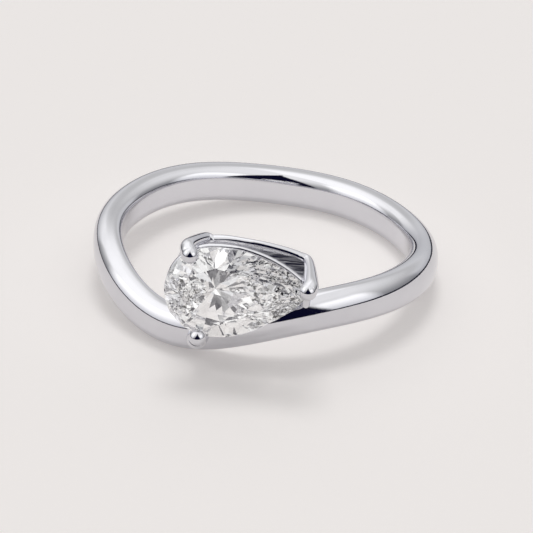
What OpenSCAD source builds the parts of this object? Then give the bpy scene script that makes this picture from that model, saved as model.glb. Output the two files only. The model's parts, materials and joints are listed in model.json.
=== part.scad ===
// A pear-cut solitaire ring. The finger's axis is Z, and the ring lies on its side as it rests on a table.
// The origin is the middle of the finger hole, and the stone looks along -Y.
// Angles round the finger are measured from +X towards +Y.

/* [Finger hole] */
// Diameter of the finger hole
bore_d = 16.1; // [14:0.1:21]

/* [Band] */
// Width of the band along the finger
band_w = 2.2; // [1.8:0.05:2.6]
// Thickness of the band from the finger outwards
band_t = 1.7; // [1.5:0.05:2]
// Rounding of the two outer edges
outer_edge_r = 0.65; // [0.3:0.05:0.75]
// Bevel of the two edges beside the finger
inner_bevel = 0.25; // [0.1:0.01:0.35]
// How far the outer face bulges between its two rounded edges
outer_crown = 0.05; // [0:0.01:0.1]

/* [Setting] */
// Angle round the finger that the stone looks towards
head_angle = 262; // [255:1:285]
// Distance of the stone's girdle from the wall of the finger hole
girdle_rise = 3.2; // [3.15:0.05:3.5]
// Place of the stone's widest point along the band
stone_s = -1.17; // [-1.4:0.01:-0.9]
// Height of the stone's widest point above the middle of the finger hole
stone_z = 3.53; // [3.3:0.01:3.7]
// Turn of the stone's point upwards
stone_turn = 6.4; // [0:0.2:12]
// Lean of the stone's table upwards
stone_lean = 8; // [0:1:12]
// Distance of the gallery rail's middle from the wall of the finger hole
gallery_rise = 0.55; // [0.5:0.01:0.7]
// Thickness of the gallery rail
gallery_d = 0.52; // [0.44:0.02:0.6]
// Thickness of the web, the thin wall that hangs from the gallery rail behind the stone
web_t = 0.2; // [0.16:0.02:0.24]
// Angle between the web and the finger's axis, its lower edge further out
web_tilt = 34; // [24:1:36]
// Depth of the web at its deep end, beside the tip claw
web_tip_depth = 1.35; // [1:0.05:1.5]
// Depth of the web at its shallow end, beside the upper claw
web_round_depth = 0.6; // [0.4:0.05:0.8]
// Thickness of the seat rail
seat_d = 0.32; // [0.26:0.02:0.4]
// Depth of the seat rail's middle below the girdle
seat_drop = 0.5; // [0.4:0.01:0.7]
// Inset of the seat rail's middle from the stone's outline
seat_inset = 0.12; // [0:0.01:0.2]
// Thickness of the claws where they pass the stone's girdle
claw_d = 0.84; // [0.7:0.02:1]
// Clearance between the stone and the metal
stone_gap = 0.03; // [0.02:0.01:0.08]

/* [Pear stone] */
// Width of the stone across its widest point
stone_w = 5.15; // [5:0.05:5.6]
// Length from the widest point to the round end
stone_round = 2.7; // [2.4:0.05:3]
// Length from the widest point to the tip
stone_tip = 5.25; // [4.9:0.05:5.5]
// Height of the crown above the girdle
crown_h = 0.55; // [0.4:0.05:0.7]
// Depth of the pavilion below the girdle
pavilion_h = 2.4; // [2.2:0.05:2.6]
// Thickness of the girdle
girdle_h = 0.15; // [0.13:0.01:0.2]
// Size of the table against the stone's outline
table_share = 0.63; // [0.55:0.01:0.68]
// Reach of the table's own point towards the tip
table_tip_share = 0.81; // [0.7:0.01:0.85]

/* [Hidden] */
bore_r = bore_d / 2;
girdle_r = bore_r + girdle_rise;
gallery_r = bore_r + gallery_rise;
METAL = [0.82, 0.82, 0.84];
DIAMOND = [0.9, 0.94, 0.98, 0.6];

// The wave of the band along the finger, as a sum of cosines.
// Columns: waves in one turn, height in mm, angle of a crest
WAVE_ROWS = [
    [1, 0.455, 262],
    [2, 0.645, 138.8],
    [3, 0.284, 56.7],
    [4, 0.11, 14.3],
    [5, 0.09, 56]
];
function sum(list, i = 0) = i < len(list) ? list[i] + sum(list, i + 1) : 0;
function wave(a) = sum([for (row = WAVE_ROWS) row[1] * cos(row[0] * (a - row[2]))]);

// Middle line of the gallery rail, from the band under the tip round to the band under the round end.
// Columns: place along the band, height
GALLERY_ROWS = [
    [3.45, 1.5], [3.52, 2.6], [3.56, 3.8], [3.42, 4.52],
    [2.7, 4.87], [1.4, 5.13], [0, 5.28], [-1.2, 5.33],
    [-2.3, 5.12], [-3.05, 4.55], [-3.4, 3.6], [-3.3, 2.4],
    [-2.9, 1.2], [-2.4, 0]
];

// The stretch of the gallery rail that the web hangs from, as rows of that table, and its middle's height
WEB_FROM = 3;
WEB_TO = 8;
WEB_MIDDLE = 5.1;

// Claws, each by its foot, any bend, its shoulder beside the girdle and its ball over the stone's edge.
// Columns: place towards the tip, place across, height above the girdle's plane, thickness against claw_d
UPPER_CLAW_ROWS = [
    [-0.32, 2.13, -2.36, 0.68],
    [-0.72, 2.26, -2.2, 0.84],
    [-1.22, 2.6, -0.25, 1],
    [-1.06, 2.33, 0.4, 1.15]
];
LOWER_CLAW_ROWS = [
    [-1.07, -2.68, -2.35, 1.4],
    [-1.12, -2.7, -0.2, 1.35],
    [-1, -2.44, 0.35, 1.15]
];
TIP_CLAW_ROWS = [
    [4.23, 1.16, -2.44, 0.62],
    [4.86, 0.88, -2.31, 0.62],
    [5.28, 0.42, -0.1, 1],
    [5.18, 0.2, 0.42, 1.16]
];

BAND_STATIONS = 90;
CORNER_STEPS = 4;
CURVE_STEPS = 4;
OUTLINE_STEP = 5;
// A joint's ball is this much thicker than the wires that meet in it
JOINT_SWELL = 1.04;
// How far the band's blank reaches inside the finger hole before the hole is cut
blank_in = 0.25;
// Length of anything that cuts right through
through = 40;

// A quarter turn round a centre, from angle a on
function corner(centre, r, a) = [for (i = [0:CORNER_STEPS])
    centre + r * [cos(a + 90 * i / CORNER_STEPS), sin(a + 90 * i / CORNER_STEPS)]];

// Cross-section of the band's blank: distance from the bore's wall, height. Its two edges beside the finger are
// bevelled, and the bevels run on inside the bore, so that the bore cuts through them.
function band_section() =
    let (h = band_w / 2, outer = band_t - outer_crown - outer_edge_r)
    concat(
        [[-blank_in, inner_bevel + blank_in - h], [inner_bevel, -h]],
        corner([outer, outer_edge_r - h], outer_edge_r, -90),
        [[band_t, 0]],
        corner([outer, h - outer_edge_r], outer_edge_r, 0),
        [[inner_bevel, h], [-blank_in, h - inner_bevel - blank_in]]
    );

// A smooth curve through every point, as a Catmull-Rom spline
function spline(p, closed = false) =
    let (m = len(p), last = closed ? m - 1 : m - 2)
    concat(
        [for (i = [0:last], k = [0:CURVE_STEPS - 1])
            let (b = p[i], c = p[(i + 1) % m],
                 a = i > 0 || closed ? p[(i + m - 1) % m] : 2 * b - c,
                 d = i < m - 2 || closed ? p[(i + 2) % m] : 2 * c - b,
                 t = k / CURVE_STEPS)
            (2 * b + (c - a) * t + (2 * a - 5 * b + 4 * c - d) * t * t + (3 * b - a - 3 * c + d) * t * t * t) / 2],
        closed ? [] : [p[m - 1]]
    );

// Outline of a flat strip whose middle line runs through the points p
function strip(p, width) =
    let (m = len(p),
         side = [for (i = [0:m - 1])
             let (d = p[min(i + 1, m - 1)] - p[max(i - 1, 0)]) [-d[1], d[0]] * width / 2 / norm(d)])
    concat([for (i = [0:m - 1]) p[i] - side[i]], [for (i = [m - 1:-1:0]) p[i] + side[i]]);

// The setting's own frame: X along the band, Y along the finger, Z away from the finger
module at_head() {
    rotate([0, 0, head_angle]) rotate([90, 0, 90]) children();
}

// The stone's own frame: X towards its tip, Z out of its table, with the girdle at Z = 0
module at_stone() {
    translate([stone_s, stone_z, girdle_r]) rotate([-stone_lean, 0, 0]) rotate([0, 0, stone_turn]) children();
}

// Outline of the stone, grown by a margin. A point is named by the direction that the outline faces there:
// 0 at the tip, 90 at the widest point and 180 at the round end. The round end is half an ellipse, and each
// side is an arc that runs on to the tip.
side_r = (pow(stone_tip, 2) + pow(stone_w / 2, 2)) / stone_w;
tip_facing = acos(stone_tip / side_r);
// The first direction in even steps that the curved side faces
first_facing = OUTLINE_STEP * (floor(tip_facing / OUTLINE_STEP) + 1);
function turned(facing) = facing > 180 ? facing - 360 : facing;
function outline(facing, grow = 0) =
    let (f = abs(facing), s = sign(facing), w = stone_w / 2 + grow, e = stone_round + grow,
         k = norm([e * cos(f), w * sin(f)]))
    f < tip_facing ? [stone_tip + grow / cos(tip_facing), 0]
    : f < 90 ? [(side_r + grow) * cos(f), s * ((side_r + grow) * sin(f) - side_r + stone_w / 2)]
    : [e * e * cos(f) / k, s * w * w * sin(f) / k];

function outline_points(grow) = concat(
    [outline(0, grow)],
    [for (f = [first_facing:OUTLINE_STEP:360 - first_facing]) outline(turned(f), grow)]
);

// Facing of each main facet, and of the girdle point midway to the next one
MAINS = [0, 60, 86, 130, 180, 230, 274, 300];
MIDWAY = [47, 73, 108, 155, 205, 252, 287, 313];
function girdle_point(facing, z) = let (p = outline(turned(facing))) [p[0], p[1], z];
function table_point(i) =
    let (p = outline(turned(MAINS[i])), share = i == 0 ? table_tip_share : table_share)
    [share * p[0], share * p[1], girdle_h / 2 + crown_h];

// A plane is its outward normal and its distance from the stone's middle
function plane(a, b, c) =
    let (n = cross(b - a, c - a) / norm(cross(b - a, c - a)), d = n * a)
    d > 0 ? [n, d] : [-n, -d];
function along_outline(facing) = [-sin(facing), cos(facing), 0];
function bezel(i) =
    let (g = girdle_point(MAINS[i], girdle_h / 2))
    plane(table_point(i), g, g + along_outline(MAINS[i]));
function main(i) =
    let (g = girdle_point(MAINS[i], -girdle_h / 2))
    plane([0, 0, -girdle_h / 2 - pavilion_h], g, g + along_outline(MAINS[i]));

// Where two planes meet at height z
function meet(p, q, z) =
    let (a = p[1] - p[0][2] * z, b = q[1] - q[0][2] * z, k = p[0][0] * q[0][1] - p[0][1] * q[0][0])
    [(a * q[0][1] - b * p[0][1]) / k, (b * p[0][0] - a * q[0][0]) / k, z];
STAR_DEPTH = 0.5;
HALF_DEPTH = 0.84;
function star_point(i) = meet(bezel(i), bezel((i + 1) % 8), girdle_h / 2 + crown_h * (1 - STAR_DEPTH));
function lower_point(i) = meet(main(i), main((i + 1) % 8), -girdle_h / 2 - pavilion_h * HALF_DEPTH);
function facets() = concat(
    [[[0, 0, 1], girdle_h / 2 + crown_h]],
    [for (i = [0:7]) bezel(i)],
    [for (i = [0:7]) main(i)],
    [for (i = [0:7]) plane(table_point(i), table_point((i + 1) % 8), star_point(i))],
    [for (i = [0:7], k = [0, 1])
        plane(girdle_point(MAINS[(i + k) % 8], girdle_h / 2), girdle_point(MIDWAY[i], girdle_h / 2), star_point(i))],
    [for (i = [0:7], k = [0, 1])
        plane(girdle_point(MAINS[(i + k) % 8], -girdle_h / 2), girdle_point(MIDWAY[i], -girdle_h / 2), lower_point(i))]
);

// The cut stone, or with a margin the room that it needs
module pear(grow = 0) {
    block = 4 * stone_tip;
    intersection() {
        translate([0, 0, -block / 2]) linear_extrude(block)
            polygon(outline_points(grow));
        intersection_for (f = facets())
            rotate([0, acos(f[0][2]), atan2(f[0][1], f[0][0])])
            translate([-block / 2, -block / 2, f[1] + grow - block])
            cube(block);
    }
}

module band() {
    section = band_section();
    n = len(section);
    points = [for (i = [0:BAND_STATIONS - 1], p = section)
        let (a = 360 * i / BAND_STATIONS, r = bore_r + p[0])
        [r * cos(a), r * sin(a), p[1] + wave(a)]];
    faces = [for (i = [0:BAND_STATIONS - 1], j = [0:n - 1])
        let (a = i * n + j, b = i * n + (j + 1) % n, next = (i + 1) % BAND_STATIONS * n,
             c = next + j, d = next + (j + 1) % n)
        each [[a, b, d], [a, d, c]]];
    difference() {
        polyhedron(points, faces, convexity = 8);
        cylinder(r = bore_r, h = through, center = true, $fn = 128);
    }
}

module gallery_rail() {
    at_head() translate([0, 0, gallery_r - gallery_d / 2])
        linear_extrude(gallery_d) polygon(strip(spline(GALLERY_ROWS), gallery_d));
}

// A thin wall that hangs from the upper run of the gallery rail and leans outwards, deeper towards the tip
module gallery_web() {
    middle = spline(GALLERY_ROWS);
    first = WEB_FROM * CURVE_STEPS;
    last = WEB_TO * CURVE_STEPS;
    upper = [for (i = [first:last]) [middle[i][0], (middle[i][1] - WEB_MIDDLE) / cos(web_tilt)]];
    lower = [for (i = [last:-1:first])
        let (share = (last - i) / (last - first))
        [middle[i][0], upper[i - first][1] - web_round_depth - (web_tip_depth - web_round_depth) * share]];
    at_head() translate([0, WEB_MIDDLE, gallery_r]) rotate([-web_tilt, 0, 0]) translate([0, 0, -web_t / 2])
        linear_extrude(web_t) polygon(concat(upper, lower));
}

// A flat rim that follows the stone's outline just under its girdle
module seat_rail() {
    at_head() at_stone() translate([0, 0, -seat_drop - seat_d / 2]) linear_extrude(seat_d) difference() {
        polygon(outline_points(seat_d / 2 - seat_inset));
        polygon(outline_points(-seat_d / 2 - seat_inset));
    }
}

// A claw is a tapered wire from its foot to its shoulder and on to its ball
module claw(rows) {
    last = len(rows) - 1;
    at_head() at_stone() {
        for (i = [0:last - 1]) {
            start = [rows[i][0], rows[i][1], rows[i][2]];
            way = [rows[i + 1][0], rows[i + 1][1], rows[i + 1][2]] - start;
            translate(start) rotate([0, acos(way[2] / norm(way)), atan2(way[1], way[0])])
                cylinder(h = norm(way), d1 = rows[i][3] * claw_d, d2 = rows[i + 1][3] * claw_d, $fn = 32);
        }
        for (i = [1:last])
            translate([rows[i][0], rows[i][1], rows[i][2]])
            sphere(d = rows[i][3] * claw_d * JOINT_SWELL, $fn = 32);
    }
}

module setting() {
    difference() {
        union() {
            gallery_rail();
            gallery_web();
            seat_rail();
            claw(UPPER_CLAW_ROWS);
            claw(LOWER_CLAW_ROWS);
            claw(TIP_CLAW_ROWS);
        }
        at_head() at_stone() pear(grow = stone_gap);
    }
}

module ring_mounting() {
    color(METAL) {
        band();
        setting();
    }
}

module pear_stone() {
    color(DIAMOND) at_head() at_stone() pear();
}

ring_mounting();
pear_stone();
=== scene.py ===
import json
import math

import bmesh
import bpy
from mathutils import Matrix, Vector


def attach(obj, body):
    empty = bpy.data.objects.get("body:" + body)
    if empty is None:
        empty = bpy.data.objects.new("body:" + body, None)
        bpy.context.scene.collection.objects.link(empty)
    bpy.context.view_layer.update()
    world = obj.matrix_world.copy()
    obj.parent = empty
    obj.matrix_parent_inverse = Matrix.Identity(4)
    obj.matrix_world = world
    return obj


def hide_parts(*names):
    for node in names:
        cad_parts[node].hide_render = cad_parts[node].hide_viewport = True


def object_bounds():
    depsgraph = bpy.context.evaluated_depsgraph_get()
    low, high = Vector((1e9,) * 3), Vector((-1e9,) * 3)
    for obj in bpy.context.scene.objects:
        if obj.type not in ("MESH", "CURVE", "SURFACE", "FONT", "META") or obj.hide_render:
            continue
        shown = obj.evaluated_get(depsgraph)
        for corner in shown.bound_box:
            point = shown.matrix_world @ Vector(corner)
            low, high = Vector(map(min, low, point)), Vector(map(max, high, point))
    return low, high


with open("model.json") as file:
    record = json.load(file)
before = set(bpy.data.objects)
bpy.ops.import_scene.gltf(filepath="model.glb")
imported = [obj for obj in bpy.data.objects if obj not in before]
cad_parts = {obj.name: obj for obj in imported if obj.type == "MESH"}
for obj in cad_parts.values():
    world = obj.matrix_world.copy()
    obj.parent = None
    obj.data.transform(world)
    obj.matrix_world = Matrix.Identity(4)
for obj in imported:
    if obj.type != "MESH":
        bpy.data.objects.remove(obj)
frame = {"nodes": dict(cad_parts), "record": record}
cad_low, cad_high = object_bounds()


# The studio: a plain pale table top, and a white tent of light round the ring.
# The tent is open towards the camera, and that dark gap gives polished metal and cut stones their contrast.
class Out:
    """One output of a node. Arithmetic on it adds Math nodes to its tree, and node() adds any other node."""

    def __init__(self, tree, socket=None):
        self.tree, self.socket = tree, socket

    def node(self, kind, settings={}, sockets={}, out=0):
        """A new node of a kind, with its settings and the values or links of its sockets."""
        made = self.tree.nodes.new(kind)
        for name, value in settings.items():
            setattr(made, name, value)
        for name, value in sockets.items():
            if isinstance(value, Out):
                self.tree.links.new(value.socket, made.inputs[name])
            else:
                made.inputs[name].default_value = value
        return Out(self.tree, made.outputs[out] if made.outputs else None)

    def maths(self, operation, *values):
        """A Math node on the given values, or on this one where none are given."""
        return self.node("ShaderNodeMath", {"operation": operation}, dict(enumerate(values or (self,))))

    def __add__(self, other):
        return self.maths("ADD", self, other)

    def __sub__(self, other):
        return self.maths("SUBTRACT", self, other)

    def __rsub__(self, other):
        return self.maths("SUBTRACT", other, self)

    def __mul__(self, other):
        return self.maths("MULTIPLY", self, other)

    def __truediv__(self, other):
        return self.maths("DIVIDE", self, other)

    def __rtruediv__(self, other):
        return self.maths("DIVIDE", other, self)

    def __pow__(self, other):
        return self.maths("POWER", self, other)

    def __abs__(self):
        return self.maths("ABSOLUTE")

    __radd__ = __add__
    __rmul__ = __mul__

    def rise(self, start, end):
        """A smooth step from 0 at start to 1 at end, whichever of the two is the larger."""
        return self.node("ShaderNodeMapRange", {"interpolation_type": "SMOOTHSTEP"},
                         {"Value": self, "From Min": start, "From Max": end})

    def mix(self, first, second):
        """The first colour where this is 0, the second where it is 1."""
        return self.node("ShaderNodeMix", {"data_type": "RGBA"}, {0: self, 6: first, 7: second}, 2)

    def parts(self):
        """The X, Y and Z of a vector."""
        split = self.node("ShaderNodeSeparateXYZ", {}, {"Vector": self})
        return [Out(self.tree, socket) for socket in split.socket.node.outputs]


def shader(name, look):
    """A new material, whose sockets come from a function of the start of its nodes."""
    material = bpy.data.materials.new(name)
    material.use_nodes = True
    material.node_tree.nodes.clear()
    start = Out(material.node_tree)
    surface = start.node("ShaderNodeBsdfPrincipled", {}, look(start))
    start.node("ShaderNodeOutputMaterial", {}, {"Surface": surface})
    return material


def placed(name, data):
    """A new object in the scene."""
    made = bpy.data.objects.new(name, data)
    bpy.context.scene.collection.objects.link(made)
    return made


MM = 0.001
TABLE_SIZE = 160 * MM
TABLE_COLOUR = (0.83, 0.798, 0.782, 1)
TABLE_FILL = 0.32
# What the camera sees past the table's edge: the colour of the lit table, so that the edge doesn't show
BACKDROP = (0.823, 0.791, 0.775, 1)

# The tent's heights are in degrees over the horizon, and its ways in degrees round the ring from +X.
# A pair of heights is where something starts to show and where it shows in full.
TENT_GREY = (0.77, 0.775, 0.80, 1)
TENT_WHITE = (1.0, 0.995, 0.985, 1)
TENT_WHITENS = (0, 30)
TENT_LIGHT, CEILING_LIGHT = 0.36, 0.73
CEILING_RISES = (-5, 63)
# The tent's brighter panels.
# Columns: way that it lies, half width, lower and upper edge, softness of its edges, light that it adds
PANELS = {
    "back wall": (64, 30, -10, 20, 8, 0.4),
    "left wall": (116, 20, 2, 38, 6, 0.35),
    "left window": (192, 24, -10, 50, 9, 0.7),
    "right window": (325, 24, -10, 42, 8, 0.7),
    "left ceiling": (140, 65, 38, 85, 9, 0.3),
}
# The tent's dark opening is a tall wedge. Its spread is its half width for each degree below its top.
GAP_NAVY = (0.004, 0.004, 0.02, 1)
GAP_FACING, GAP_TOP, GAP_SPREAD, GAP_SOFTNESS = 271, 84, 0.5, 4
# A dark strip lies all round between the table's edge and the tent's foot. The opening goes down as low.
STRIP_FOOT, STRIP_HEAD = (-5, -4), (4, 1.5)
# For the stone alone, the opening is narrower, the tent is dimmer, and thin dark cards stand round the ring.
# The stone's fine dark lines come from the cards. A cosine wave has one crest for each card, and the card's
# soft sides lie between two of its values.
GAP_NARROWS, TENT_DIMS = 0.35, 0.12
CARD_COUNT, CARD_SIDES, CARD_DARKNESS = 9, (0.86, 0.96), 0.9
CARD_FOOT, CARD_HEAD = (12, 16), (74, 70)

world = bpy.data.worlds.new("white_tent")
bpy.context.scene.world = world
world.use_nodes = True
world.node_tree.nodes.clear()
start = Out(world.node_tree)
x, y, z = start.node("ShaderNodeTexCoord", out="Generated").parts()
height = z.maths("ARCSINE") * math.degrees(1)
to_camera = start.node("ShaderNodeLightPath", out="Is Camera Ray")
through_stone = start.node("ShaderNodeLightPath", out="Is Transmission Ray")


def towards(facing):
    """Cosine of the angle round the ring between a way and the light's own way."""
    turned = math.radians(facing)
    return (x * math.cos(turned) + y * math.sin(turned)) / (1 - z * z) ** 0.5


def panel(facing, half_width, low, high, soft):
    """A panel of the tent with soft edges."""
    outer_edge, inner_edge = [math.cos(math.radians(half_width + apart)) for apart in (soft, -soft)]
    across = towards(facing).rise(outer_edge, inner_edge)
    return across * height.rise(low - soft, low + soft) * height.rise(high + soft, high - soft)


bright = TENT_LIGHT + CEILING_LIGHT * height.rise(*CEILING_RISES)
for *shape, light in PANELS.values():
    bright = bright + light * panel(*shape)
gap_angle = towards(GAP_FACING).maths("ARCCOSINE") * math.degrees(1)
gap_half = (GAP_TOP - height) * GAP_SPREAD * (1 - GAP_NARROWS * through_stone)
gap_sides = gap_angle.rise(gap_half + GAP_SOFTNESS, gap_half - GAP_SOFTNESS)
gap = gap_sides * height.rise(GAP_TOP + GAP_SOFTNESS, GAP_TOP - GAP_SOFTNESS)
round_cards = x.maths("ARCTAN2", y, x) * CARD_COUNT
cards = round_cards.maths("COSINE").rise(*CARD_SIDES) * height.rise(*CARD_FOOT) * height.rise(*CARD_HEAD)
dark = gap.maths("MAXIMUM", gap, height.rise(*STRIP_HEAD)) * height.rise(*STRIP_FOOT)
dark = dark.maths("MAXIMUM", dark, cards * through_stone * CARD_DARKNESS)
tent = height.rise(*TENT_WHITENS).mix(TENT_GREY, TENT_WHITE)
studio = start.node("ShaderNodeBackground", {}, {
    "Color": dark.mix(tent, GAP_NAVY),
    "Strength": bright * (1 - TENT_DIMS * through_stone) * (1 - dark) + dark})
plain = start.node("ShaderNodeBackground", {}, {"Color": BACKDROP, "Strength": 1.0})
sky = start.node("ShaderNodeMixShader", {}, {0: to_camera, 1: studio, 2: plain})
start.node("ShaderNodeOutputWorld", {}, {"Surface": sky})


def matt_table(start):
    """A matt surface that gives off a little light, as if from the tent."""
    return {"Base Color": TABLE_COLOUR, "Roughness": 1.0, "Specular IOR Level": 0.0,
            "Emission Color": TABLE_COLOUR, "Emission Strength": TABLE_FILL}


half = TABLE_SIZE / 2
corners = [(across * half, away * half, cad_low.z) for across, away in ((-1, -1), (1, -1), (1, 1), (-1, 1))]
table = bpy.data.meshes.new("table_top")
table.from_pydata(corners, [], [(0, 1, 2, 3)])
table.materials.append(shader("matt_table", matt_table))
placed("table_top", table)

# The tent shows only in the metal and the stone, and two soft lamps light only the table.
# One is high behind the ring and casts its shadow forwards, and one is overhead.
# Columns: name, elevation and spread in degrees, strength
LAMPS = [("back_light", 76, 24, 0.72), ("top_light", 86, 120, 1.41)]

world.cycles_visibility.diffuse = False
for name, elevation, spread, strength in LAMPS:
    lamp = bpy.data.lights.new(name, "SUN")
    lamp.angle = math.radians(spread)
    lamp.energy = strength
    hung = placed(name, lamp)
    hung.rotation_euler = (-math.radians(90 - elevation), 0, 0)
    hung.visible_glossy = hung.visible_transmission = False

# How many times light may turn, which has to be many inside a cut stone
MOST_TURNS, MOST_TURNS_OF_A_KIND = 24, 20

bpy.context.scene.view_settings.view_transform = "Standard"
light_paths = bpy.context.scene.cycles
light_paths.max_bounces = MOST_TURNS
light_paths.glossy_bounces = light_paths.transmission_bounces = MOST_TURNS_OF_A_KIND


# The camera stands 224 mm away on the side that the stone looks to, and looks down at it through a long lens.
# It is rolled a little to the left, and the finger hole lies a little above the middle of its picture.
CAMERA_ELEVATION = 29.9
CAMERA_ROLL = 1.75
CAMERA_DISTANCE = 224 * MM
CAMERA_LENS = 268.1
# Nearest and furthest that it sees, against that distance
CAMERA_NEAR, CAMERA_FAR = 1 / 20, 50
# Where the middle of the finger hole lies, right of and above the picture's middle
HOLE_RIGHT, HOLE_UP = -0.034 * MM, 0.932 * MM

tilt, roll = math.radians(CAMERA_ELEVATION), math.radians(CAMERA_ROLL)
back = Vector((0, -math.cos(tilt), math.sin(tilt)))
level_right = Vector((1, 0, 0))
level_up = Vector((0, math.sin(tilt), math.cos(tilt)))
view_right = level_right * math.cos(roll) + level_up * math.sin(roll)
view_up = level_up * math.cos(roll) - level_right * math.sin(roll)
camera = placed("camera", bpy.data.cameras.new("camera"))
bpy.context.scene.camera = camera
camera.data.lens = CAMERA_LENS
camera.data.clip_start = CAMERA_DISTANCE * CAMERA_NEAR
camera.data.clip_end = CAMERA_DISTANCE * CAMERA_FAR
camera.matrix_world = Matrix((view_right, view_up, back)).transposed().to_4x4()
camera.location = back * CAMERA_DISTANCE - view_right * HOLE_RIGHT - view_up * HOLE_UP


# The band: one bar of 18 carat white gold, drawn to a soft oblong section, bent round and waved.
# Its inside is a plain round hole for the finger, and all of it is polished to a mirror.
GOLD = (0.7, 0.7, 0.735, 1)
GOLD_WORN = (0.66, 0.66, 0.695, 1)
POLISH, POLISH_WORN = 0.045, 0.12
# Clouds of wear, by their noise's scale and the two values between which they come in
WEAR_SCALE, WEAR_EDGES = 260.0, (0.42, 0.72)
# Hairlines, by their noise's scale and the strength and depth of their bump
HAIR_SCALE, HAIR_STRENGTH, HAIR_DEPTH = 5200.0, 0.05, 0.02 * MM


def grain(start, place, scale, detail):
    """A random pattern of soft spots from 0 to 1."""
    return start.node("ShaderNodeTexNoise", {}, {"Vector": place, "Scale": scale, "Detail": detail}, "Fac")


def polished_gold(start):
    """Mirror polish with faint clouds of wear, and hairlines that roughen where it is worn."""
    place = start.node("ShaderNodeTexCoord", out="Object")
    wear = grain(start, place, WEAR_SCALE, detail=4.0).rise(*WEAR_EDGES)
    hairs = grain(start, place, HAIR_SCALE, detail=2.0)
    return {
        "Base Color": wear.mix(GOLD, GOLD_WORN),
        "Metallic": 1.0,
        "Roughness": POLISH + (POLISH_WORN - POLISH) * wear * hairs,
        "Normal": start.node("ShaderNodeBump", {}, {
            "Strength": HAIR_STRENGTH, "Distance": HAIR_DEPTH, "Height": hairs}),
    }


white_gold = shader("polished_white_gold", polished_gold)

# The wave of the band along the finger, as a sum of cosines.
# Columns: waves in one turn, height in mm, angle of a crest
WAVE_ROWS = [(1, 0.455, 262), (2, 0.645, 138.8), (3, 0.284, 56.7), (4, 0.11, 14.3), (5, 0.09, 56)]
BORE_R = frame["record"]["mounts"][0]["dims"]["r_mm"] * MM
# A corner of squareness 2 is an ellipse's, and a greater one is squarer.
# The band's upper outer corner is softer beside the stone, and softest at one angle round the finger.
BAND_SIZES = {
    "Bore Radius": BORE_R,
    "Band Width": 2.2 * MM,
    "Band Thickness": 1.7 * MM,
    "Outer Squareness": 2.8,
    "Inner Squareness": 3.0,
    "Softer Squareness": 1.85,
    "Softest Angle": math.radians(288),
}
BAND_STATIONS = 384
# Points of the band's section, and of the finer loop that it is drawn from
SECTION_POINTS, LOOP_POINTS = 96, 480
# Points nearer to each other than this many metres are merged
MERGE_WITHIN = 1e-7
# Faces that meet at less than this many degrees look like one smooth surface
SMOOTH_BELOW = 35


def node_group(name, inputs):
    """A new tree of geometry nodes. Each of its inputs is given as its kind of socket and its value."""
    tree = bpy.data.node_groups.new(name, "GeometryNodeTree")
    tree.interface.new_socket("Geometry", in_out="OUTPUT", socket_type="NodeSocketGeometry")
    tree.interface.new_socket("Geometry", in_out="INPUT", socket_type="NodeSocketGeometry")
    for label, (kind, _) in inputs.items():
        tree.interface.new_socket(label, in_out="INPUT", socket_type="NodeSocket" + kind)
    way_in = tree.nodes.new("NodeGroupInput")
    return tree, Out(tree), {socket.name: Out(tree, socket) for socket in way_in.outputs if socket.name}


def finish_group(start, geometry, material):
    """Ends a tree as plain geometry that wears one material."""
    real = start.node("GeometryNodeRealizeInstances", {}, {"Geometry": geometry})
    smooth = start.node("GeometryNodeSetShadeSmooth", {}, {"Geometry": real})
    worn = start.node("GeometryNodeSetMaterial", {}, {"Geometry": smooth, "Material": material})
    start.node("NodeGroupOutput", {}, {"Geometry": worn})


def clean(mesh):
    """Merges doubles, turns every face outwards and shades the mesh smooth but for its sharp edges."""
    work = bmesh.new()
    work.from_mesh(mesh)
    bmesh.ops.remove_doubles(work, verts=work.verts, dist=MERGE_WITHIN)
    bmesh.ops.recalc_face_normals(work, faces=work.faces)
    for face in work.faces:
        face.smooth = True
    work.to_mesh(mesh)
    work.free()
    mesh.set_sharp_from_angle(angle=math.radians(SMOOTH_BELOW))
    return mesh


def applied(base, name):
    """The plain mesh that an object's modifiers make. The object itself is removed."""
    bpy.context.view_layer.update()
    seen = base.evaluated_get(bpy.context.evaluated_depsgraph_get())
    mesh = bpy.data.meshes.new_from_object(seen)
    mesh.name = name
    bpy.data.objects.remove(base)
    return clean(mesh)


def run_group(name, tree, inputs, data=None):
    """The plain mesh that a tree makes from its inputs."""
    base = placed(name + "_base", data or bpy.data.meshes.new(name + "_base"))
    modifier = base.modifiers.new(name, "NODES")
    modifier.node_group = tree
    sockets = {item.name: item.identifier for item in tree.interface.items_tree if item.in_out == "INPUT"}
    for label, (_, value) in inputs.items():
        modifier[sockets[label]] = value
    return applied(base, name)


def piece(name, mesh):
    """A finished piece of the soldered gold, which stands for its part of the solid model."""
    made = placed(name, mesh)
    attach(made, "root")
    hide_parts("ring_mounting")


band_inputs = {label: ("Float", value) for label, value in BAND_SIZES.items()}
for turns, wave_height, crest in WAVE_ROWS:
    band_inputs[f"Wave {turns} Height"] = ("Float", wave_height * MM)
    band_inputs[f"Wave {turns} Crest"] = ("Float", math.radians(crest))
tree, start, given = node_group("waved_band", band_inputs)

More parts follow.
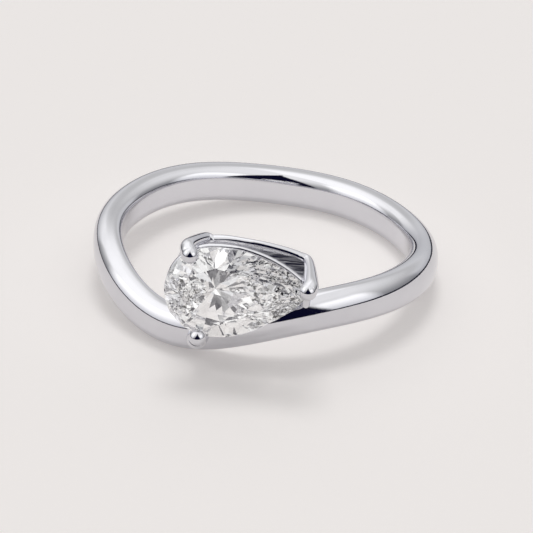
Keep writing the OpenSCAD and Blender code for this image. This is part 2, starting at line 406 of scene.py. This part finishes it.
# Two sections: oblongs with soft corners, in X away from the hole's wall and Y along the finger.
# The second has a softer upper outer corner, which the band has beside the stone.
loop = start.node("GeometryNodeCurvePrimitiveCircle", {}, {"Resolution": LOOP_POINTS, "Radius": 1.0})
spot = start.node("GeometryNodeInputPosition")
outwards, upwards, _ = spot.parts()
outer = outwards.maths("GREATER_THAN", outwards, 0.0)
softer = outer * upwards.maths("GREATER_THAN", upwards, 0.0)
plain_corner = outer * given["Outer Squareness"] + (1 - outer) * given["Inner Squareness"]
soft_corner = softer * given["Softer Squareness"] + (1 - softer) * plain_corner
sections = []
for squareness in (plain_corner, soft_corner):
    out, up = [part.maths("SIGN") * abs(part) ** (2 / squareness) for part in (outwards, upwards)]
    section_place = start.node("ShaderNodeCombineXYZ", {}, {
        "X": (1 + out) * given["Band Thickness"] / 2, "Y": up * given["Band Width"] / 2})
    sections.append(start.node("GeometryNodeSetPosition", {}, {"Geometry": loop, "Position": section_place}))

# The band: a grid whose one side runs round the finger and the other round the section
grid = start.node("GeometryNodeMeshGrid", {}, {
    "Size X": 1.0, "Size Y": 1.0, "Vertices X": BAND_STATIONS + 1, "Vertices Y": SECTION_POINTS + 1})
round_finger, round_section = [part + 0.5 for part in spot.parts()[:2]]
angle = round_finger * math.tau
soft = (0.5 + 0.5 * (angle - given["Softest Angle"]).maths("COSINE")) ** 2.0
rise, lift = 0.0, 0.0
for section, share in zip(sections, (1 - soft, soft)):
    sample = start.node("GeometryNodeSampleCurve", {"mode": "FACTOR"}, {
        "Curves": section, "Factor": round_section}, "Position")
    out, up, _ = sample.parts()
    rise = rise + share * out
    lift = lift + share * up
for turns, _, _ in WAVE_ROWS:
    phase = (angle - given[f"Wave {turns} Crest"]) * turns
    lift = lift + given[f"Wave {turns} Height"] * phase.maths("COSINE")
radius = given["Bore Radius"] + rise
band_place = start.node("ShaderNodeCombineXYZ", {}, {
    "X": radius * angle.maths("COSINE"), "Y": radius * angle.maths("SINE"), "Z": lift})
swept = start.node("GeometryNodeSetPosition", {}, {"Geometry": grid, "Position": band_place})
closed = start.node("GeometryNodeMergeByDistance", {}, {"Geometry": swept, "Distance": MERGE_WITHIN})
finish_group(start, closed, white_gold)
piece("band", run_group("band", tree, band_inputs))


# The gallery rail: a round wire soldered to the band under both ends of the stone. It carries the claws.
# It lies flat in one plane, square to the way that the stone looks.
HEAD_ANGLE = 262
GALLERY_R = BORE_R + 0.55 * MM
GALLERY_D = 0.52 * MM
WIRE_SIDES, WIRE_STEPS = 32, 16
# Columns: place along the band, height, in mm
GALLERY_ROWS = [
    (3.45, 1.5), (3.52, 2.6), (3.56, 3.8), (3.42, 4.52), (2.7, 4.87), (1.4, 5.13), (0, 5.28),
    (-1.2, 5.33), (-2.3, 5.12), (-3.05, 4.55), (-3.4, 3.6), (-3.3, 2.4), (-2.9, 1.2), (-2.4, 0)]

# A place at the head is given as its place along the band, its height and its distance from the finger's axis
upright = Matrix(((0, 0, 1, 0), (1, 0, 0, 0), (0, 1, 0, 0), (0, 0, 0, 1)))
at_head = Matrix.Rotation(math.radians(HEAD_ANGLE), 4, "Z") @ upright

wire_inputs = {"Thickness": ("Float", GALLERY_D), "Sides": ("Int", WIRE_SIDES)}
round_wire, start, given = node_group("round_wire", wire_inputs)
smooth = start.node("GeometryNodeCurveSplineType", {"spline_type": "CATMULL_ROM"}, {
    "Curve": given["Geometry"]})
fine = start.node("GeometryNodeSetSplineResolution", {}, {"Geometry": smooth, "Resolution": WIRE_STEPS})
ring = start.node("GeometryNodeCurvePrimitiveCircle", {}, {
    "Resolution": given["Sides"], "Radius": given["Thickness"] / 2})
wire = start.node("GeometryNodeCurveToMesh", {}, {"Curve": fine, "Profile Curve": ring, "Fill Caps": True})
finish_group(start, wire, white_gold)


def path(name, points, closed=False):
    """A curve of one spline through the points."""
    curve = bpy.data.curves.new(name, "CURVE")
    curve.dimensions = "3D"
    spline = curve.splines.new("POLY")
    spline.points.add(len(points) - 1)
    for point, place in zip(spline.points, points):
        point.co = (*place, 1)
    spline.use_cyclic_u = closed
    return curve


gallery_points = [at_head @ Vector((along * MM, up * MM, GALLERY_R)) for along, up in GALLERY_ROWS]
gallery_path = path("gallery_path", gallery_points)
piece("gallery_rail", run_group("gallery_rail", round_wire, wire_inputs, gallery_path))


# The web: a thin wall of the same gold, soldered under the upper run of the gallery rail behind the stone.
# It leans outwards and is deeper towards the stone's tip.
# It is left brushed lengthways, where a polishing wheel can't reach.
WEB_T = 0.2 * MM
WEB_TILT = math.radians(34)
WEB_TIP_DEPTH, WEB_ROUND_DEPTH = 1.35 * MM, 0.6 * MM
# The rows of the rail that it runs between, and the height where its leaning plane passes the rail
WEB_FROM, WEB_TO = 3, 8
WEB_MIDDLE = 5.1 * MM
WEB_STEPS = 40
BRUSHED, BRUSHED_DEEP = 0.05, 0.22
# The brush's lines, by their noise's scale, the share of it that holds lengthways, the two values between
# which they come in, and the strength and depth of their bump
LINE_SCALE, LINE_DRAW, LINE_EDGES = 9000.0, 0.06, (0.35, 0.65)
LINE_STRENGTH, LINE_DEPTH = 0.35, 0.03 * MM


def brushed_gold(start):
    """Gold with fine lines along the band's way at the head."""
    place = start.node("ShaderNodeTexCoord", out="Object")
    lengthways = start.node("ShaderNodeVectorRotate", {"rotation_type": "Z_AXIS"}, {
        "Vector": place, "Angle": -math.radians(HEAD_ANGLE + 90)})
    drawn = start.node("ShaderNodeVectorMath", {"operation": "MULTIPLY"}, {
        0: lengthways, 1: (LINE_DRAW, 1, 1)})
    lines = grain(start, drawn, LINE_SCALE, detail=2.0)
    bare = lines.rise(*LINE_EDGES)
    return {
        "Base Color": bare.mix(GOLD_WORN, GOLD),
        "Metallic": 1.0,
        "Roughness": BRUSHED + (BRUSHED_DEEP - BRUSHED) * bare,
        "Normal": start.node("ShaderNodeBump", {}, {
            "Strength": LINE_STRENGTH, "Distance": LINE_DEPTH, "Height": lines}),
    }


def spline_point(rows, t):
    """Point of a smooth curve that passes every row, t being counted in rows."""
    i = min(int(t), len(rows) - 2)
    b, c = Vector(rows[i]), Vector(rows[i + 1])
    a = Vector(rows[i - 1]) if i else 2 * b - c
    d = Vector(rows[i + 2]) if i + 2 < len(rows) else 2 * c - b
    t -= i
    return (2 * b + (c - a) * t + (2 * a - 5 * b + 4 * c - d) * t ** 2 + (3 * b - a - 3 * c + d) * t ** 3) / 2


def skin(name, rings, material):
    """A closed mesh over rings of points, each joined to the next, with a flat cap at either end."""
    work = bmesh.new()
    rings = [[work.verts.new(point) for point in ring] for ring in rings]
    for near, far in zip(rings, rings[1:]):
        for k in range(len(near)):
            after = (k + 1) % len(near)
            work.faces.new((near[k], near[after], far[after], far[k]))
    work.faces.new(rings[0][::-1])
    work.faces.new(rings[-1])
    mesh = bpy.data.meshes.new(name)
    work.to_mesh(mesh)
    work.free()
    mesh.materials.append(material)
    return clean(mesh)


brushed = shader("brushed_white_gold", brushed_gold)
web_plane = at_head @ Matrix.Translation((0, WEB_MIDDLE, GALLERY_R)) @ Matrix.Rotation(-WEB_TILT, 4, "X")
columns = []
for k in range(WEB_STEPS + 1):
    tip_share = 1 - k / WEB_STEPS
    along, up = spline_point(GALLERY_ROWS, WEB_FROM + (WEB_TO - WEB_FROM) * k / WEB_STEPS) * MM
    top = (up - WEB_MIDDLE) / math.cos(WEB_TILT)
    low = top - WEB_ROUND_DEPTH - (WEB_TIP_DEPTH - WEB_ROUND_DEPTH) * tip_share
    sides = [(top, -WEB_T / 2), (low, -WEB_T / 2), (low, WEB_T / 2), (top, WEB_T / 2)]
    columns.append([web_plane @ Vector((along, *side)) for side in sides])
piece("gallery_web", skin("gallery_web", columns, brushed))


# The seat rail: a thinner wire of the same gold that follows the stone's outline just under its girdle.
# The stone rests on it, and it is soldered to the claws.
SEAT_D = 0.32 * MM
SEAT_DROP = 0.5 * MM
SEAT_INSET = 0.12 * MM
GIRDLE_R = BORE_R + 3.2 * MM
STONE_S, STONE_Z = -1.17 * MM, 3.53 * MM
STONE_TURN, STONE_LEAN = math.radians(6.4), math.radians(8)
STONE_W, STONE_ROUND, STONE_TIP = 5.15 * MM, 2.7 * MM, 5.25 * MM
# Radius of the two arcs that meet in the tip, and the way that they face there
SIDE_R = (STONE_TIP ** 2 + (STONE_W / 2) ** 2) / STONE_W
TIP_FACING = math.degrees(math.acos(STONE_TIP / SIDE_R))
# The first way past the tip that the rail has a point for, and the step to the next, in degrees
OUTLINE_FROM, OUTLINE_STEP = 40, 5

# A place at the stone is given as its place towards the tip, across, and above the girdle's plane
at_stone = (at_head @ Matrix.Translation((STONE_S, STONE_Z, GIRDLE_R))
            @ Matrix.Rotation(-STONE_LEAN, 4, "X") @ Matrix.Rotation(STONE_TURN, 4, "Z"))


def outline(facing, grow):
    """Point of the stone's outline that faces a way in degrees: 0 at the tip, 180 at the round end."""
    turned = facing - 360 if facing > 180 else facing
    way, side = math.radians(abs(turned)), math.copysign(1, turned)
    if abs(turned) < TIP_FACING:
        return STONE_TIP + grow / math.cos(math.radians(TIP_FACING)), 0.0
    if abs(turned) < 90:
        arc_r = SIDE_R + grow
        return arc_r * math.cos(way), side * (arc_r * math.sin(way) - SIDE_R + STONE_W / 2)
    length, width = STONE_ROUND + grow, STONE_W / 2 + grow
    reach = math.hypot(length * math.cos(way), width * math.sin(way))
    return length * length * math.cos(way) / reach, side * width * width * math.sin(way) / reach


facings = [0, *range(OUTLINE_FROM, 361 - OUTLINE_FROM, OUTLINE_STEP)]
seat_points = [at_stone @ Vector((*outline(facing, -SEAT_INSET), -SEAT_DROP)) for facing in facings]
piece("seat_rail", run_group("seat_rail", round_wire, {
    **wire_inputs, "Thickness": ("Float", SEAT_D)}, path("seat_path", seat_points, True)))


# The claws: three tapered wires, soldered to the gallery rail or the band and bent over the stone's edge.
# Each ends in a round bead, and a seat is filed into it for the girdle and the crown.
CLAW_D = 0.84 * MM
# Each claw by its foot, any bend, its shoulder beside the girdle and its bead over the stone's edge.
# Columns: towards the tip, across, above the girdle's plane, in mm, and thickness against CLAW_D
CLAWS = {
    "upper_claw": [
        (-0.32, 2.13, -2.36, 0.68), (-0.72, 2.26, -2.2, 0.84),
        (-1.22, 2.6, -0.25, 1), (-1.06, 2.33, 0.4, 1.15)],
    "lower_claw": [
        (-1.07, -2.68, -2.35, 1.4), (-1.12, -2.7, -0.2, 1.35), (-1, -2.44, 0.35, 1.15)],
    "tip_claw": [
        (4.23, 1.16, -2.44, 0.62), (4.86, 0.88, -2.31, 0.62),
        (5.28, 0.42, -0.1, 1), (5.18, 0.2, 0.42, 1.16)],
}
CLAW_SIDES = 40
CLAW_STEPS, BEAD_STEPS = 14, 16
# A ball's pole is a small flat, this wide against the ball
POLE_SHARE = 0.01
# The seat in a claw has the stone's own shape, this much larger than the stone
SEAT_GROWTH = 1.012


def tube(name, stations):
    """A closed round tube through stations, each given as a point and a radius."""
    turns = [math.tau * k / CLAW_SIDES for k in range(CLAW_SIDES)]
    points = [point for point, _ in stations]
    side_way = (points[1] - points[0]).normalized().orthogonal()
    rings = []
    for i, (point, r) in enumerate(stations):
        ahead = (points[min(i + 1, len(points) - 1)] - points[max(i - 1, 0)]).normalized()
        side_way = (side_way - ahead * side_way.dot(ahead)).normalized()
        up_way = ahead.cross(side_way)
        rings.append([point + r * (side_way * math.cos(turn) + up_way * math.sin(turn)) for turn in turns])
    return skin(name, rings, white_gold)


def claw_stations(rows):
    """Stations of a claw, from the far pole of the ball at its foot to the far pole of its bead."""
    foot, r = Vector(rows[0][:3]), rows[0][3] / 2
    ahead = (Vector(rows[1][:3]) - foot).normalized()
    found = [(foot - ahead * r, r * POLE_SHARE)]
    bends = [math.pi / 2 * (k / BEAD_STEPS) for k in range(BEAD_STEPS)]
    for bend in bends[1:]:
        found.append((foot - ahead * r * math.cos(bend), r * math.sin(bend)))
    for k in range(CLAW_STEPS * (len(rows) - 1)):
        place = spline_point(rows, k / CLAW_STEPS)
        found.append((Vector(place[:3]), place[3] / 2))
    bead, r = Vector(rows[-1][:3]), rows[-1][3] / 2
    onwards = (bead - found[-1][0]).normalized()
    for bend in bends:
        found.append((bead + onwards * r * math.sin(bend), r * math.cos(bend)))
    found.append((bead + onwards * r, r * POLE_SHARE))
    return found


stone = frame["nodes"]["pear_stone"]
seat = placed("seat_shape", stone.data.copy())
seat.data.transform(at_stone @ Matrix.Scale(SEAT_GROWTH, 4) @ at_stone.inverted())
for name, rows in CLAWS.items():
    sized = [(x * MM, y * MM, z * MM, d * CLAW_D) for x, y, z, d in rows]
    uncut = placed("uncut", tube(name, [(at_stone @ point, r) for point, r in claw_stations(sized)]))
    cut = uncut.modifiers.new("cut", "BOOLEAN")
    cut.operation, cut.solver, cut.object = "DIFFERENCE", "EXACT", seat
    piece(name, applied(uncut, name))
bpy.data.objects.remove(seat)


# The stone: a pear-cut diamond of flat polished facets, clear but for the faintest wisps.
# It is held between the seat rail and the claws, and takes its facets from the solid model.
DIAMOND, DIAMOND_WISP = (1, 1, 1, 1), (0.985, 0.99, 1.0, 1)
DIAMOND_IOR = 2.42
FACET_POLISH = 0.008
WISP_SCALE, WISP_EDGES = 900.0, (0.3, 0.8)


def clear_diamond(start):
    """Clear through and through, with a faint uneven tint."""
    place = start.node("ShaderNodeTexCoord", out="Object")
    wisps = grain(start, place, WISP_SCALE, detail=3.0)
    return {
        "Base Color": wisps.rise(*WISP_EDGES).mix(DIAMOND, DIAMOND_WISP),
        "Roughness": FACET_POLISH,
        "IOR": DIAMOND_IOR,
        "Transmission Weight": 1.0,
    }


stone.data.materials.clear()
stone.data.materials.append(shader("clear_diamond", clear_diamond))
